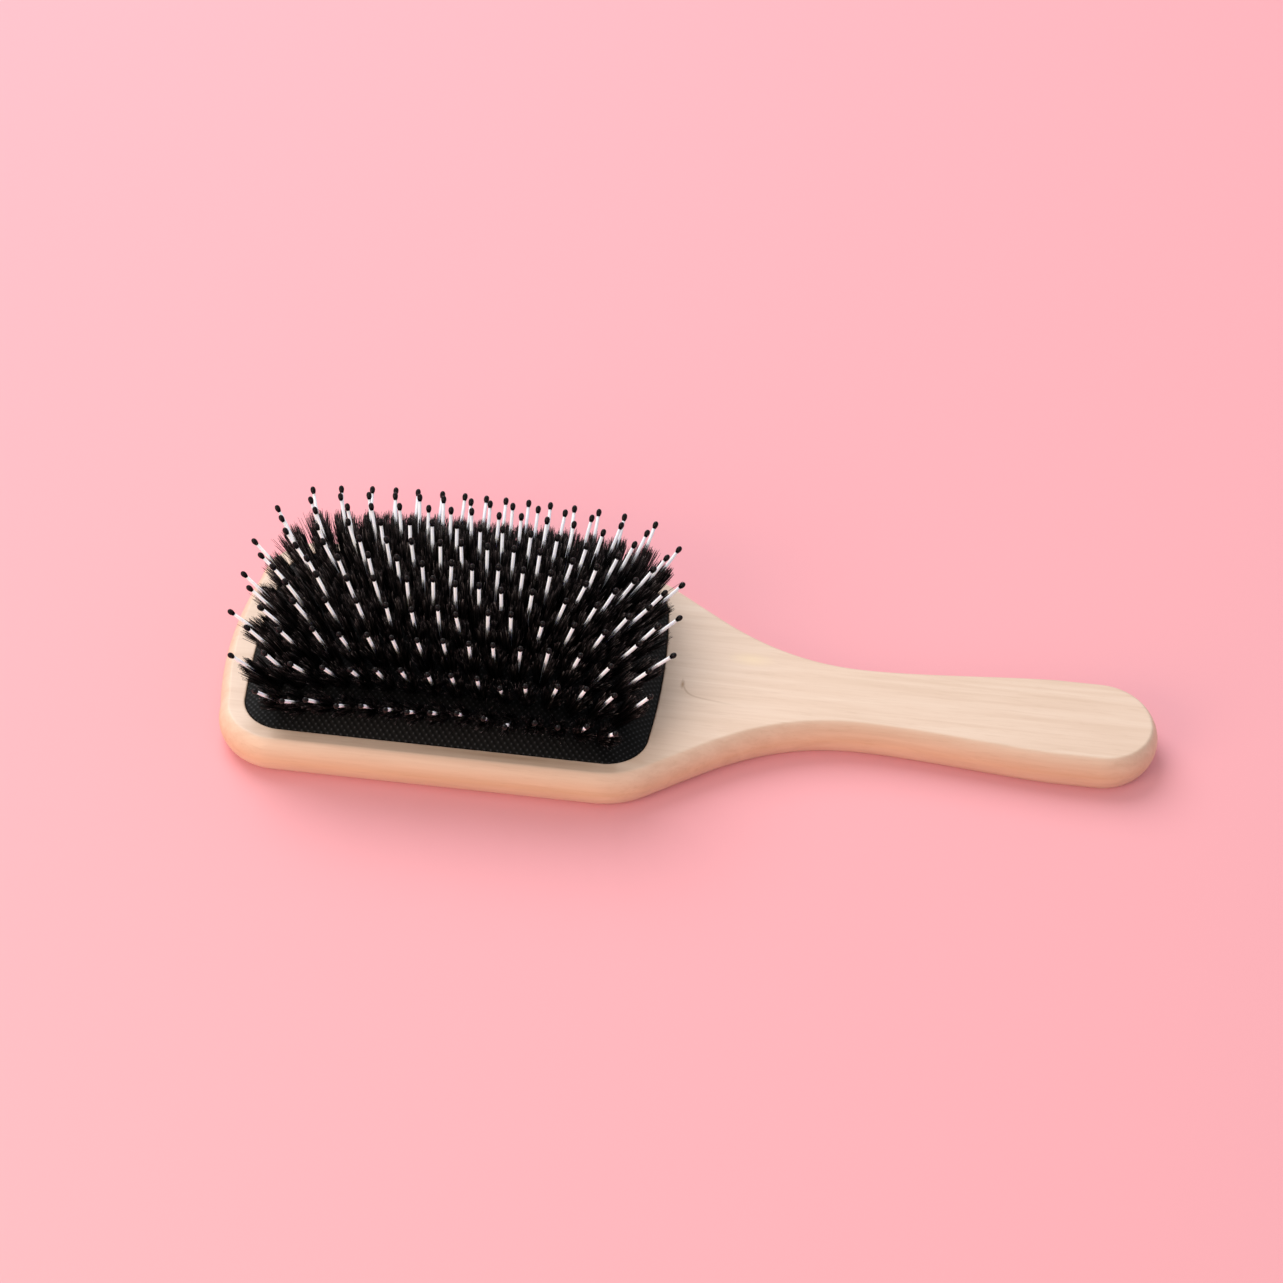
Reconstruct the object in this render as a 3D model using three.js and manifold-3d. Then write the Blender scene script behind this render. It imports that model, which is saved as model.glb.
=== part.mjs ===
// Cushion paddle hairbrush, lying on its flat back with the pins up.
// Units are millimetres. +X runs from the head to the handle's end, +Z points out of the pins, and the brush is
// symmetric about Y. The origin is at the bottom centre of the whole brush.
import * as THREE from 'three';
import { mergeVertices } from 'three/addons/utils/BufferGeometryUtils.js';
import Module from 'manifold-3d';

const wasm = await Module();
wasm.setup();

// ---- Driving dimensions ------------------------------------------------------------------------------------

// Wooden body: one flat board, head and handle in one piece. Its outline is given at mid height, where it is widest.
const HALF_LENGTH = 123.9;
const BOARD_THICKNESS = 11.2;
const HEAD_HALF_WIDTH = 41.1;
const HEAD_CORNER_RADIUS = 16.5;
const HEAD_END_BOW = 2.65;
const SHOULDER_X = -13;
const SHOULDER_ROUNDING = 7.8;
const SHOULDER_SLOPE = 0.75;
const FLANK_END_X = 6.3;
const NECK = { x: 46, halfWidth: 12 };
const GRIP = { x: 98.4, halfWidth: 15.85 };
const GRIP_END_LENGTH = 15.5;
const GRIP_EASE = 11.8;
const NECK_EASE_TO_GRIP = 16.6;
const NECK_EASE_TO_FLANK = 13.4;
const FLANK_EASE = 17.6;

// The sides bulge outwards between the face and the back: more round the head, less along the handle.
const HEAD_SIDE_BULGE = 2.6;
const HANDLE_SIDE_BULGE = 2.05;
const BULGE_CHANGE = { from: -12, to: 42 };

// Recess for the cushion, with a groove round its wall that holds the cushion's bead.
const CUSHION_X = -61.35;
const RECESS = { halfLength: 54.2, halfWidth: 34.7, cornerRadius: 11, endBow: 1.2 };
const RECESS_DEPTH = 6;
const GROOVE_REACH = 1.6;
const GROOVE_TOP_DEPTH = 1.4;
const GROOVE_HEIGHT = 2.2;
const FIT_GAP = 0.3;

// Cushion: a domed rubber sheet over an air chamber.
const DOME_HEIGHT = 13;
const DOME_POWER_X = 3.2;
const DOME_POWER_Y = 2.4;
const SHEET_THICKNESS = 2;
const BEAD_REACH = GROOVE_REACH - FIT_GAP;

// Field of pins: staggered rows along X, each pin leaning out a little more than the dome's own slope, and further
// across the brush towards the four corners.
const ROW_COUNT = 11;
const LONG_ROW_PINS = 16;
const PIN_PITCH_X = 5.97;
const ROW_PITCH_Y = 5.65;
const FIELD_X = -61.53;
const SPLAY_X = 1.8;
const SPLAY_Y = 1.5;
const CORNER_LEAN = 1.3;
const CORNER_POWER = 6;

// Pins are moulded in rows on a strip that lies under the rubber sheet. Widths are half widths of square sections.
const PIN_HALF_WIDTH = 0.45;
const PIN_LENGTH = 18.5;
const TIP_HALF_WIDTH = 0.7;
const TIP_LENGTH = 2;
const PIN_STRIP_THICKNESS = 1;

// Bristle tufts stand round the pins and share a root strip of their own, between the sheet and the pin strip.
const TUFT_ROOT_HALF_WIDTH = 1.3;
const TUFT_TOP_HALF_WIDTH = 2;
const PIN_CLEARANCE = 0.35;
const TUFT_BORE_HALF_WIDTH = PIN_HALF_WIDTH + PIN_CLEARANCE;
const TUFT_LENGTH = 12;
const TUFT_STRIP_THICKNESS = 0.8;
const STRIP_DROP = 1.2;
const STRIP_GAP = 0.5;
const SLIT_HALF_WIDTH = 2.2;
const SLIT_HALF_HEIGHT = 4;
const SLIT_PIN_STEP = 2;

// How finely the curves are cut up, and the shares of its outline at which the cushion has rings.
const OUTLINE_STEPS = 4;
const BOARD_CURVE_STEPS = 8;
const SIDE_STEPS = 6;
const RING_SHARES = [0.35, 0.6, 0.78, 0.9];
const SAME_POINT = 1e-4;
const SHORTEST_STEP = 0.01;
const CUT_OVERRUN = 1;

// ---- Materials ---------------------------------------------------------------------------------------------

const wood = new THREE.MeshStandardMaterial({ color: 0xe8d3b8, roughness: 0.55, metalness: 0 });
const rubber = new THREE.MeshStandardMaterial({ color: 0x101012, roughness: 0.8, metalness: 0 });
const nylon = new THREE.MeshStandardMaterial({ color: 0xe9e7ee, roughness: 0.4, metalness: 0 });
const bristle = new THREE.MeshStandardMaterial({ color: 0x0d0b0a, roughness: 0.65, metalness: 0 });

// ---- Solids ------------------------------------------------------------------------------------------------

// A closed geometry from shared points and polygon faces, each listed anticlockwise as seen from outside.
function closedGeometry(points, faces) {
  const geometry = new THREE.BufferGeometry();
  geometry.setAttribute('position', new THREE.Float32BufferAttribute(points.flatMap((p) => p.toArray()), 3));
  geometry.setIndex(faces.flatMap((face) => face.slice(2).flatMap((last, i) => [face[0], face[i + 1], last])));
  return geometry;
}

function toManifold(geometry) {
  const bare = geometry.clone();
  bare.deleteAttribute('normal');
  bare.deleteAttribute('uv');
  const merged = mergeVertices(bare, SAME_POINT);
  const index = merged.index.array;
  const triangles = [];
  for (let i = 0; i < index.length; i += 3) {
    const [a, b, c] = index.slice(i, i + 3);
    if (a !== b && b !== c && c !== a) triangles.push(a, b, c);
  }
  const vertProperties = Float32Array.from(merged.attributes.position.array);
  return new wasm.Manifold(new wasm.Mesh({ numProp: 3, vertProperties, triVerts: Uint32Array.from(triangles) }));
}

function toGeometry(manifold) {
  const { vertProperties, triVerts } = manifold.getMesh();
  const geometry = new THREE.BufferGeometry();
  geometry.setAttribute('position', new THREE.BufferAttribute(Float32Array.from(vertProperties), 3));
  geometry.setIndex(new THREE.BufferAttribute(Uint32Array.from(triVerts), 1));
  geometry.computeVertexNormals();
  return geometry;
}

// ---- Wooden body -------------------------------------------------------------------------------------------

// Half of the board's outline, from the handle's end round the +Y side to the middle of the head's free end.
function boardHalfOutline() {
  const flankEndWidth = HEAD_HALF_WIDTH - SHOULDER_SLOPE * (FLANK_END_X - SHOULDER_X);
  const slant = Math.hypot(1, SHOULDER_SLOPE);
  const shoulderEnd = SHOULDER_X + SHOULDER_ROUNDING / slant;
  const cornerX = -HALF_LENGTH + HEAD_END_BOW + HEAD_CORNER_RADIUS;
  const cornerY = HEAD_HALF_WIDTH - HEAD_CORNER_RADIUS;
  const gripEndX = HALF_LENGTH - GRIP_END_LENGTH;
  const half = new THREE.Path();
  half.moveTo(HALF_LENGTH, 0);
  half.absellipse(gripEndX, 0, GRIP_END_LENGTH, GRIP.halfWidth, 0, Math.PI / 2, false, 0);
  half.lineTo(GRIP.x, GRIP.halfWidth);
  half.bezierCurveTo(
    GRIP.x - GRIP_EASE, GRIP.halfWidth,
    NECK.x + NECK_EASE_TO_GRIP, NECK.halfWidth,
    NECK.x, NECK.halfWidth,
  );
  const reach = FLANK_EASE / slant;
  half.bezierCurveTo(
    NECK.x - NECK_EASE_TO_FLANK, NECK.halfWidth,
    FLANK_END_X + reach, flankEndWidth - SHOULDER_SLOPE * reach,
    FLANK_END_X, flankEndWidth,
  );
  half.lineTo(shoulderEnd, HEAD_HALF_WIDTH - SHOULDER_SLOPE * (shoulderEnd - SHOULDER_X));
  half.quadraticCurveTo(SHOULDER_X, HEAD_HALF_WIDTH, SHOULDER_X - SHOULDER_ROUNDING, HEAD_HALF_WIDTH);
  half.lineTo(cornerX, HEAD_HALF_WIDTH);
  half.absarc(cornerX, cornerY, HEAD_CORNER_RADIUS, Math.PI / 2, Math.PI, false);
  half.quadraticCurveTo(-HALF_LENGTH, cornerY / 2, -HALF_LENGTH, 0);
  return half.getPoints(BOARD_CURVE_STEPS);
}

function boardOutline() {
  const upper = boardHalfOutline().filter((p, i, all) => i === 0 || p.distanceTo(all[i - 1]) > SHORTEST_STEP);
  const lower = upper.slice(1, -1).reverse().map((p) => new THREE.Vector2(p.x, -p.y));
  return [...upper, ...lower];
}

function sideBulge(x) {
  const share = THREE.MathUtils.smoothstep(x, BULGE_CHANGE.from, BULGE_CHANGE.to);
  return THREE.MathUtils.lerp(HEAD_SIDE_BULGE, HANDLE_SIDE_BULGE, share);
}

// The whole board before its recess is cut: rings from the back to the face, on an arc that bulges at mid height.
function boardGeometry() {
  const outline = boardOutline();
  const count = outline.length;
  const inward = outline.map((p, i) => {
    const along = outline[(i + 1) % count].clone().sub(outline[(i + count - 1) % count]).normalize();
    return new THREE.Vector2(-along.y, along.x);
  });
  const middle = BOARD_THICKNESS / 2;
  const ring = (share) => outline.map((p, i) => {
    const halfArc = 2 * Math.atan(sideBulge(p.x) / middle);
    const radius = middle / Math.sin(halfArc);
    const place = p.clone().addScaledVector(inward[i], radius * (1 - Math.cos(share * halfArc)));
    return new THREE.Vector3(place.x, place.y, middle + radius * Math.sin(share * halfArc));
  });
  const rings = Array.from({ length: SIDE_STEPS + 1 }, (_, i) => ring((2 * i) / SIDE_STEPS - 1));
  const faces = [];
  for (let start = 0; start < (rings.length - 1) * count; start += count) {
    for (let k = 0; k < count; k += 1) {
      const next = (k + 1) % count;
      faces.push([start + k, start + next, start + count + next, start + count + k]);
    }
  }
  const flat = THREE.ShapeUtils.triangulateShape(rings[0].map((p) => new THREE.Vector2(p.x, p.y)), []);
  const top = (rings.length - 1) * count;
  faces.push(...flat.map(([a, b, c]) => [c, b, a]), ...flat.map(([a, b, c]) => [top + a, top + b, top + c]));
  return closedGeometry(rings.flat(), faces);
}

// ---- Cushion outline and dome ------------------------------------------------------------------------------

// Outline of the recess, grown outwards by `grow`, as points round the cushion's own centre.
function recessOutline(grow) {
  const radius = RECESS.cornerRadius + grow;
  const cornerX = RECESS.halfLength - RECESS.endBow - RECESS.cornerRadius;
  const cornerY = RECESS.halfWidth - RECESS.cornerRadius;
  const quarter = [new THREE.Vector2(RECESS.halfLength + grow, 0), new THREE.Vector2(
    RECESS.halfLength + grow - RECESS.endBow / 4, cornerY / 2)];
  for (let i = 0; i <= OUTLINE_STEPS; i += 1) {
    const angle = (Math.PI / 2) * (i / OUTLINE_STEPS);
    quarter.push(new THREE.Vector2(cornerX + radius * Math.cos(angle), cornerY + radius * Math.sin(angle)));
  }
  quarter.push(new THREE.Vector2(cornerX / 2, RECESS.halfWidth + grow));
  const half = [...quarter, new THREE.Vector2(0, RECESS.halfWidth + grow),
    ...quarter.slice(1).reverse().map((p) => new THREE.Vector2(-p.x, p.y))];
  const other = half.map((p) => new THREE.Vector2(-p.x, -p.y));
  return [...half, ...other];
}

// Height of the dome over the board's face at a place given from the cushion's centre.
function domeHeight(x, y) {
  const u = Math.min(1, Math.abs(x) / RECESS.halfLength);
  const v = Math.min(1, Math.abs(y) / RECESS.halfWidth);
  return DOME_HEIGHT * (1 - u ** DOME_POWER_X) * (1 - v ** DOME_POWER_Y);
}

// How steeply the dome falls away from its centre, along x and along y.
function domeFall(x, y) {
  const u = Math.abs(x) / RECESS.halfLength;
  const v = Math.abs(y) / RECESS.halfWidth;
  return {
    x: (DOME_HEIGHT / RECESS.halfLength) * DOME_POWER_X * u ** (DOME_POWER_X - 1) * (1 - v ** DOME_POWER_Y)
      * Math.sign(x),
    y: (DOME_HEIGHT / RECESS.halfWidth) * DOME_POWER_Y * v ** (DOME_POWER_Y - 1) * (1 - u ** DOME_POWER_X)
      * Math.sign(y),
  };
}

// ---- Pins and tufts ----------------------------------------------------------------------------------------

// The pins of a row: where each leaves the cushion, the way it points, and the two directions across it.
function rowPins(row) {
  const count = row % 2 === 1 ? LONG_ROW_PINS - 1 : LONG_ROW_PINS;
  const y = (row - (ROW_COUNT + 1) / 2) * ROW_PITCH_Y;
  return Array.from({ length: count }, (_, i) => {
    const x = FIELD_X - CUSHION_X + (i - (count - 1) / 2) * PIN_PITCH_X;
    const fall = domeFall(x, y);
    const cornerShare = (x / RECESS.halfLength) ** 2 * (y / RECESS.halfWidth) ** CORNER_POWER;
    const leanY = SPLAY_Y * fall.y + CORNER_LEAN * cornerShare * Math.sign(y);
    const lean = new THREE.Vector3(SPLAY_X * fall.x, leanY, 1);
    const axis = lean.clone().normalize();
    const alongRow = new THREE.Vector3(1, 0, 0).addScaledVector(axis, -axis.x).normalize();
    return {
      base: new THREE.Vector3(CUSHION_X + x, y, BOARD_THICKNESS + domeHeight(x, y)),
      axis,
      alongRow,
      acrossRow: axis.clone().cross(alongRow),
      // A step down the pin's line, as a share of the distance it moves straight away from the dome's surface.
      sink: lean.length() / (1 + lean.x * fall.x + lean.y * fall.y),
    };
  });
}

// Corners of a square on a pin's line: height above the dome's surface along the line, and half width.
const CORNERS = [[-1, -1], [1, -1], [1, 1], [-1, 1]];
const square = (pin, height, halfWidth) => CORNERS.map(([a, b]) => pin.base.clone()
  .addScaledVector(pin.axis, height)
  .addScaledVector(pin.alongRow, a * halfWidth)
  .addScaledVector(pin.acrossRow, b * halfWidth));

// A row of upright posts on a strip, as one closed body. Every post is a stack of squares, of which the lowest two
// bound the strip. It ends in a point, or is bored right through where `boreOf` gives the bore's lower and upper
// square.
function postRow(pins, stackOf, pointOf, boreOf) {
  const points = [];
  const faces = [];
  const addSquare = (corners) => points.push(...corners) - 4;
  const band = (low, high, k) => {
    const next = (k + 1) % 4;
    faces.push([low + k, low + next, high + next, high + k]);
  };
  let previous = null;
  pins.forEach((pin, i) => {
    const stack = stackOf(pin).map(addSquare);
    const top = stack.at(-1);
    const [foot, stripTop] = stack;
    for (let level = 0; level + 1 < stack.length; level += 1) {
      for (let k = 0; k < 4; k += 1) {
        const meetsStrip = level === 0 && ((k === 1 && i < pins.length - 1) || (k === 3 && i > 0));
        if (!meetsStrip) band(stack[level], stack[level + 1], k);
      }
    }
    if (boreOf) {
      const [boreFoot, boreTop] = boreOf(pin).map(addSquare);
      for (let k = 0; k < 4; k += 1) {
        band(top, boreTop, k);
        band(boreTop, boreFoot, k);
        band(boreFoot, foot, k);
      }
    } else {
      const point = points.push(pointOf(pin)) - 1;
      for (let k = 0; k < 4; k += 1) faces.push([top + k, top + (k + 1) % 4, point]);
      faces.push([foot + 3, foot + 2, foot + 1, foot]);
    }
    if (previous) {
      faces.push([previous.foot + 1, previous.foot + 2, foot + 3, foot]);
      faces.push([previous.foot + 1, foot, stripTop, previous.stripTop + 1]);
      faces.push([previous.stripTop + 1, stripTop, stripTop + 3, previous.stripTop + 2]);
      faces.push([previous.foot + 2, previous.stripTop + 2, stripTop + 3, foot + 3]);
    }
    previous = { foot, stripTop };
  });
  return closedGeometry(points, faces);
}

const TUFT_STRIP_TOP = SHEET_THICKNESS + STRIP_DROP;
const PIN_STRIP_DROP = TUFT_STRIP_THICKNESS + STRIP_GAP;
const tuftStripTop = (pin) => -TUFT_STRIP_TOP * pin.sink;

function pinRow(row) {
  const stackOf = (pin) => {
    const stripTop = tuftStripTop(pin) - PIN_STRIP_DROP;
    return [
      square(pin, stripTop - PIN_STRIP_THICKNESS, PIN_HALF_WIDTH),
      square(pin, stripTop, PIN_HALF_WIDTH),
      square(pin, PIN_LENGTH, PIN_HALF_WIDTH),
      square(pin, PIN_LENGTH + TIP_LENGTH / 2, TIP_HALF_WIDTH),
    ];
  };
  const pointOf = (pin) => pin.base.clone().addScaledVector(pin.axis, PIN_LENGTH + TIP_LENGTH);
  return postRow(rowPins(row), stackOf, pointOf, null);
}

function tuftRow(row) {
  const stackOf = (pin) => [
    square(pin, tuftStripTop(pin) - TUFT_STRIP_THICKNESS, TUFT_ROOT_HALF_WIDTH),
    square(pin, tuftStripTop(pin), TUFT_ROOT_HALF_WIDTH),
    square(pin, TUFT_LENGTH, TUFT_TOP_HALF_WIDTH),
  ];
  const boreOf = (pin) => [
    square(pin, tuftStripTop(pin) - TUFT_STRIP_THICKNESS, TUFT_BORE_HALF_WIDTH),
    square(pin, TUFT_LENGTH, TUFT_BORE_HALF_WIDTH),
  ];
  return postRow(rowPins(row), stackOf, null, boreOf);
}

// ---- Cushion -----------------------------------------------------------------------------------------------

// One ring of points on the dome: the outline shrunk to a share of its size, `drop` below the dome's surface.
function domeRing(share, drop, outline) {
  return outline.map((p) => {
    const rimRise = domeHeight(p.x, p.y) * share ** 2;
    const z = BOARD_THICKNESS + domeHeight(p.x * share, p.y * share) - rimRise - drop;
    return new THREE.Vector3(CUSHION_X + p.x * share, p.y * share, z);
  });
}

const flatRing = (outline, z) => outline.map((p) => new THREE.Vector3(CUSHION_X + p.x, p.y, z));

function cushionGeometry() {
  const rim = recessOutline(-FIT_GAP);
  const bead = recessOutline(BEAD_REACH);
  const lip = recessOutline(-SHEET_THICKNESS);
  const beadTop = BOARD_THICKNESS - GROOVE_TOP_DEPTH - FIT_GAP;
  const beadBottom = BOARD_THICKNESS - GROOVE_TOP_DEPTH - GROOVE_HEIGHT + FIT_GAP;
  const rings = [
    ...RING_SHARES.map((share) => domeRing(share, 0, rim)), flatRing(rim, BOARD_THICKNESS), flatRing(rim, beadTop),
    flatRing(bead, beadTop), flatRing(bead, beadBottom), flatRing(lip, beadBottom),
    flatRing(lip, BOARD_THICKNESS - SHEET_THICKNESS / 2),
    ...[...RING_SHARES].reverse().map((share) => domeRing(share, SHEET_THICKNESS, rim)),
  ];
  const crown = new THREE.Vector3(CUSHION_X, 0, BOARD_THICKNESS + DOME_HEIGHT);
  const points = [...rings.flat(), crown, crown.clone().setZ(crown.z - SHEET_THICKNESS)];
  const count = rim.length;
  const faces = [];
  for (let k = 0; k < count; k += 1) {
    const next = (k + 1) % count;
    faces.push([points.length - 2, k, next]);
    for (let ring = 0; ring + 1 < rings.length; ring += 1) {
      const a = ring * count;
      faces.push([a + k, a + count + k, a + count + next, a + next]);
    }
    const inner = (rings.length - 1) * count;
    faces.push([points.length - 1, inner + next, inner + k]);
  }
  return closedGeometry(points, faces);
}

// The slit that a row of tufts comes up through, lofted through every few of the row's pins.
function slit(row) {
  const pins = rowPins(row);
  const stations = pins.filter((_, i) => i % SLIT_PIN_STEP === 0 && i < pins.length - 2);
  stations.push(pins.at(-1));
  const shifts = [-SLIT_HALF_WIDTH, ...stations.slice(1, -1).map(() => 0), SLIT_HALF_WIDTH];
  const sections = stations.map((pin, i) => CORNERS.map(([a, b]) => pin.base.clone()
    .addScaledVector(pin.alongRow, shifts[i])
    .addScaledVector(pin.axis, b * SLIT_HALF_HEIGHT)
    .addScaledVector(pin.acrossRow, a * SLIT_HALF_WIDTH)));
  const last = 4 * (stations.length - 1);
  const faces = [[3, 2, 1, 0], [last, last + 1, last + 2, last + 3]];
  for (let start = 0; start < last; start += 4) {
    for (let k = 0; k < 4; k += 1) {
      const next = (k + 1) % 4;
      faces.push([start + k, start + next, start + 4 + next, start + 4 + k]);
    }
  }
  return toManifold(closedGeometry(sections.flat(), faces));
}

function cushion() {
  let sheet = toManifold(cushionGeometry());
  for (let row = 1; row <= ROW_COUNT; row += 1) sheet = sheet.subtract(slit(row));
  return toGeometry(sheet);
}

// ---- Board -------------------------------------------------------------------------------------------------

function pocket(grow, bottom, top) {
  const outline = recessOutline(grow).map((p) => new THREE.Vector2(CUSHION_X + p.x, p.y));
  const geometry = new THREE.ExtrudeGeometry(new THREE.Shape(outline), { depth: top - bottom, bevelEnabled: false });
  geometry.translate(0, 0, bottom);
  return toManifold(geometry);
}

function woodenBody() {
  const grooveTop = BOARD_THICKNESS - GROOVE_TOP_DEPTH;
  const recess = pocket(0, BOARD_THICKNESS - RECESS_DEPTH, BOARD_THICKNESS + CUT_OVERRUN);
  const groove = pocket(GROOVE_REACH, grooveTop - GROOVE_HEIGHT, grooveTop);
  return toGeometry(toManifold(boardGeometry()).subtract(recess).subtract(groove));
}

// ---- Assembly ----------------------------------------------------------------------------------------------

const brush = new THREE.Group();

function addPiece(name, geometry, material) {
  const piece = new THREE.Mesh(geometry, material);
  piece.name = name;
  brush.add(piece);
}

addPiece('wooden_body', woodenBody(), wood);
addPiece('cushion', cushion(), rubber);
for (let row = 1; row <= ROW_COUNT; row += 1) {
  const number = String(row).padStart(2, '0');
  addPiece(`pin_row_${number}`, pinRow(row), nylon);
  addPiece(`bristle_row_${number}`, tuftRow(row), bristle);
}

export default brush;
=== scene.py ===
"""Looks of the cushion paddle hairbrush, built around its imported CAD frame. Lengths are in metres."""

import math

import bmesh
import bpy
import numpy as np
from mathutils import Matrix, Vector


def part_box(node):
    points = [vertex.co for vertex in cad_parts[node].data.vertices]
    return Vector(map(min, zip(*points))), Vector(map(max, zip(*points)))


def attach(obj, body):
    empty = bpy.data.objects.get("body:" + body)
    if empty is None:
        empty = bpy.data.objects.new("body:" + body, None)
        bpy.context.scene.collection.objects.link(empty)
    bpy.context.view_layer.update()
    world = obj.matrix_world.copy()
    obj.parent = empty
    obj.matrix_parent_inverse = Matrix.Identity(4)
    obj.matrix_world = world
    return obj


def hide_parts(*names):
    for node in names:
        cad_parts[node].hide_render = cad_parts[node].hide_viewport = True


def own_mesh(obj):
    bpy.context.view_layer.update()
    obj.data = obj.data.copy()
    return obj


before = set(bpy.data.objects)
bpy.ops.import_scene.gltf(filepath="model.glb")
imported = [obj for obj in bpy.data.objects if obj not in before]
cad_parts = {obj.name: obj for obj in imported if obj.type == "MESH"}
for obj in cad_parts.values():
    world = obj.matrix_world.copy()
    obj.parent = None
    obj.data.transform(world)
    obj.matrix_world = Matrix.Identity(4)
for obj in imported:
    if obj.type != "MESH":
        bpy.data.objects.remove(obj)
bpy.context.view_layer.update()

MM = 0.001
SEED = 20

# ---- Sizes taken from the frame, and the shape's own proportions ---------------------------------

BOARD_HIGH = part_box("wooden_body")[1]
CUSHION_LOW, CUSHION_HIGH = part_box("cushion")
BOARD_TOP = BOARD_HIGH.z
HALF_LENGTH = BOARD_HIGH.x
HEAD_HALF_WIDTH = BOARD_HIGH.y

HEAD_SIDE_BULGE = 2.6 * MM
HANDLE_SIDE_BULGE = 2.05 * MM
BULGE_CHANGE = (-12 * MM, 42 * MM)
HEAD_CORNER_RADIUS = 16.5 * MM
HEAD_END_BOW = 2.65 * MM
SHOULDER_X = -13 * MM
SHOULDER_ROUNDING = 7.8 * MM
SHOULDER_SLOPE = 0.75
FLANK_END_X = 6.3 * MM
FLANK_EASE = 17.6 * MM
NECK_X, NECK_HALF_WIDTH = 46 * MM, 12 * MM
NECK_EASE_TO_FLANK, NECK_EASE_TO_GRIP = 13.4 * MM, 16.6 * MM
GRIP_X, GRIP_HALF_WIDTH = 98.4 * MM, 15.85 * MM
GRIP_EASE = 11.8 * MM
GRIP_END_LENGTH = 15.5 * MM

BEAD_REACH = 1.3 * MM
CUSHION_X = (CUSHION_LOW.x + CUSHION_HIGH.x) / 2
RECESS_HALF_LENGTH = CUSHION_HIGH.x - CUSHION_X - BEAD_REACH
RECESS_HALF_WIDTH = CUSHION_HIGH.y - BEAD_REACH
RECESS_CORNER_RADIUS = 11 * MM
RECESS_END_BOW = 1.2 * MM
RECESS_DEPTH = 6 * MM
RECESS_EDGE_ROUND = 0.4 * MM
GROOVE_REACH = 1.6 * MM
GROOVE_TOP_DEPTH = 1.4 * MM
GROOVE_HEIGHT = 2.2 * MM
FIT_GAP = 0.15 * MM

DOME_HEIGHT = CUSHION_HIGH.z - BOARD_TOP
DOME_POWER_X = 3.2
DOME_POWER_Y = 2.4
SHEET_THICKNESS = 2 * MM

ROW_COUNT = 11
LONG_ROW_PINS = 16
PIN_PITCH_X = 5.97 * MM
ROW_PITCH_Y = 5.65 * MM
FIELD_SHIFT_X = -0.18 * MM
SPLAY_X = 1.8
SPLAY_Y = 1.5
CORNER_LEAN = 1.3
CORNER_POWER = 6

PIN_LENGTH = 18.5 * MM
PIN_FOOT_RADIUS = 0.5 * MM
PIN_NECK_RADIUS = 0.45 * MM
PIN_JITTER = 0.03
TIP_PROFILE = [(0.52, 0.1), (0.68, 0.5), (0.74, 0.95), (0.70, 1.35), (0.55, 1.7), (0.3, 1.92)]
TIP_LENGTH = 2.0 * MM
PIN_SIDES = 12

TUFT_LENGTH = 12.9 * MM
TUFT_ROOT_RADIUS = 1.7 * MM
TUFT_TOP_RADIUS = 3.6 * MM
TUFT_HOLLOW_RADIUS = 0.58 * MM
HAIRS_PER_TUFT = 240
CLUMPS_PER_TUFT = 12
STRAY_SHARE = 0.04
HAIR_RADIUS = 0.1 * MM

# The strips under the sheet on which a row's tufts and, lower down, its pins are moulded.
STRIP_DEPTH = 3.6 * MM
TUFT_STRIP_HALF_THICKNESS = 0.4 * MM
PIN_STRIP_DROP = 1.3 * MM
PIN_STRIP_HALF_WIDTH = 0.6 * MM
PIN_STRIP_HALF_THICKNESS = 0.5 * MM


# ---- Outlines and the dome -----------------------------------------------------------------------

def arc(cx, cy, rx, ry, start, end, steps):
    """Points on an ellipse's arc, angles in degrees."""
    angles = np.radians(np.linspace(start, end, steps + 1))
    return np.stack([cx + rx * np.cos(angles), cy + ry * np.sin(angles)], axis=1)


def bezier(points, steps):
    """Points on the Bezier curve with these three or four control points."""
    degree = len(points) - 1
    t = np.linspace(0, 1, steps + 1)[:, None]
    return sum(
        math.comb(degree, i) * t**i * (1 - t) ** (degree - i) * np.array(p) for i, p in enumerate(points)
    )


def mirrored(half):
    """A closed outline from its +Y half, which runs from the +X end to the -X end."""
    other = half[1:-1][::-1] * [1, -1]
    return np.concatenate([half, other])


def spread_evenly(outline, count):
    """The same closed outline with its points at even spacing."""
    closed = np.vstack([outline, outline[:1]])
    along = np.concatenate([[0], np.cumsum(np.linalg.norm(np.diff(closed, axis=0), axis=1))])
    at = np.linspace(0, along[-1], count, endpoint=False)
    return np.stack([np.interp(at, along, closed[:, k]) for k in range(2)], axis=1)


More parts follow.
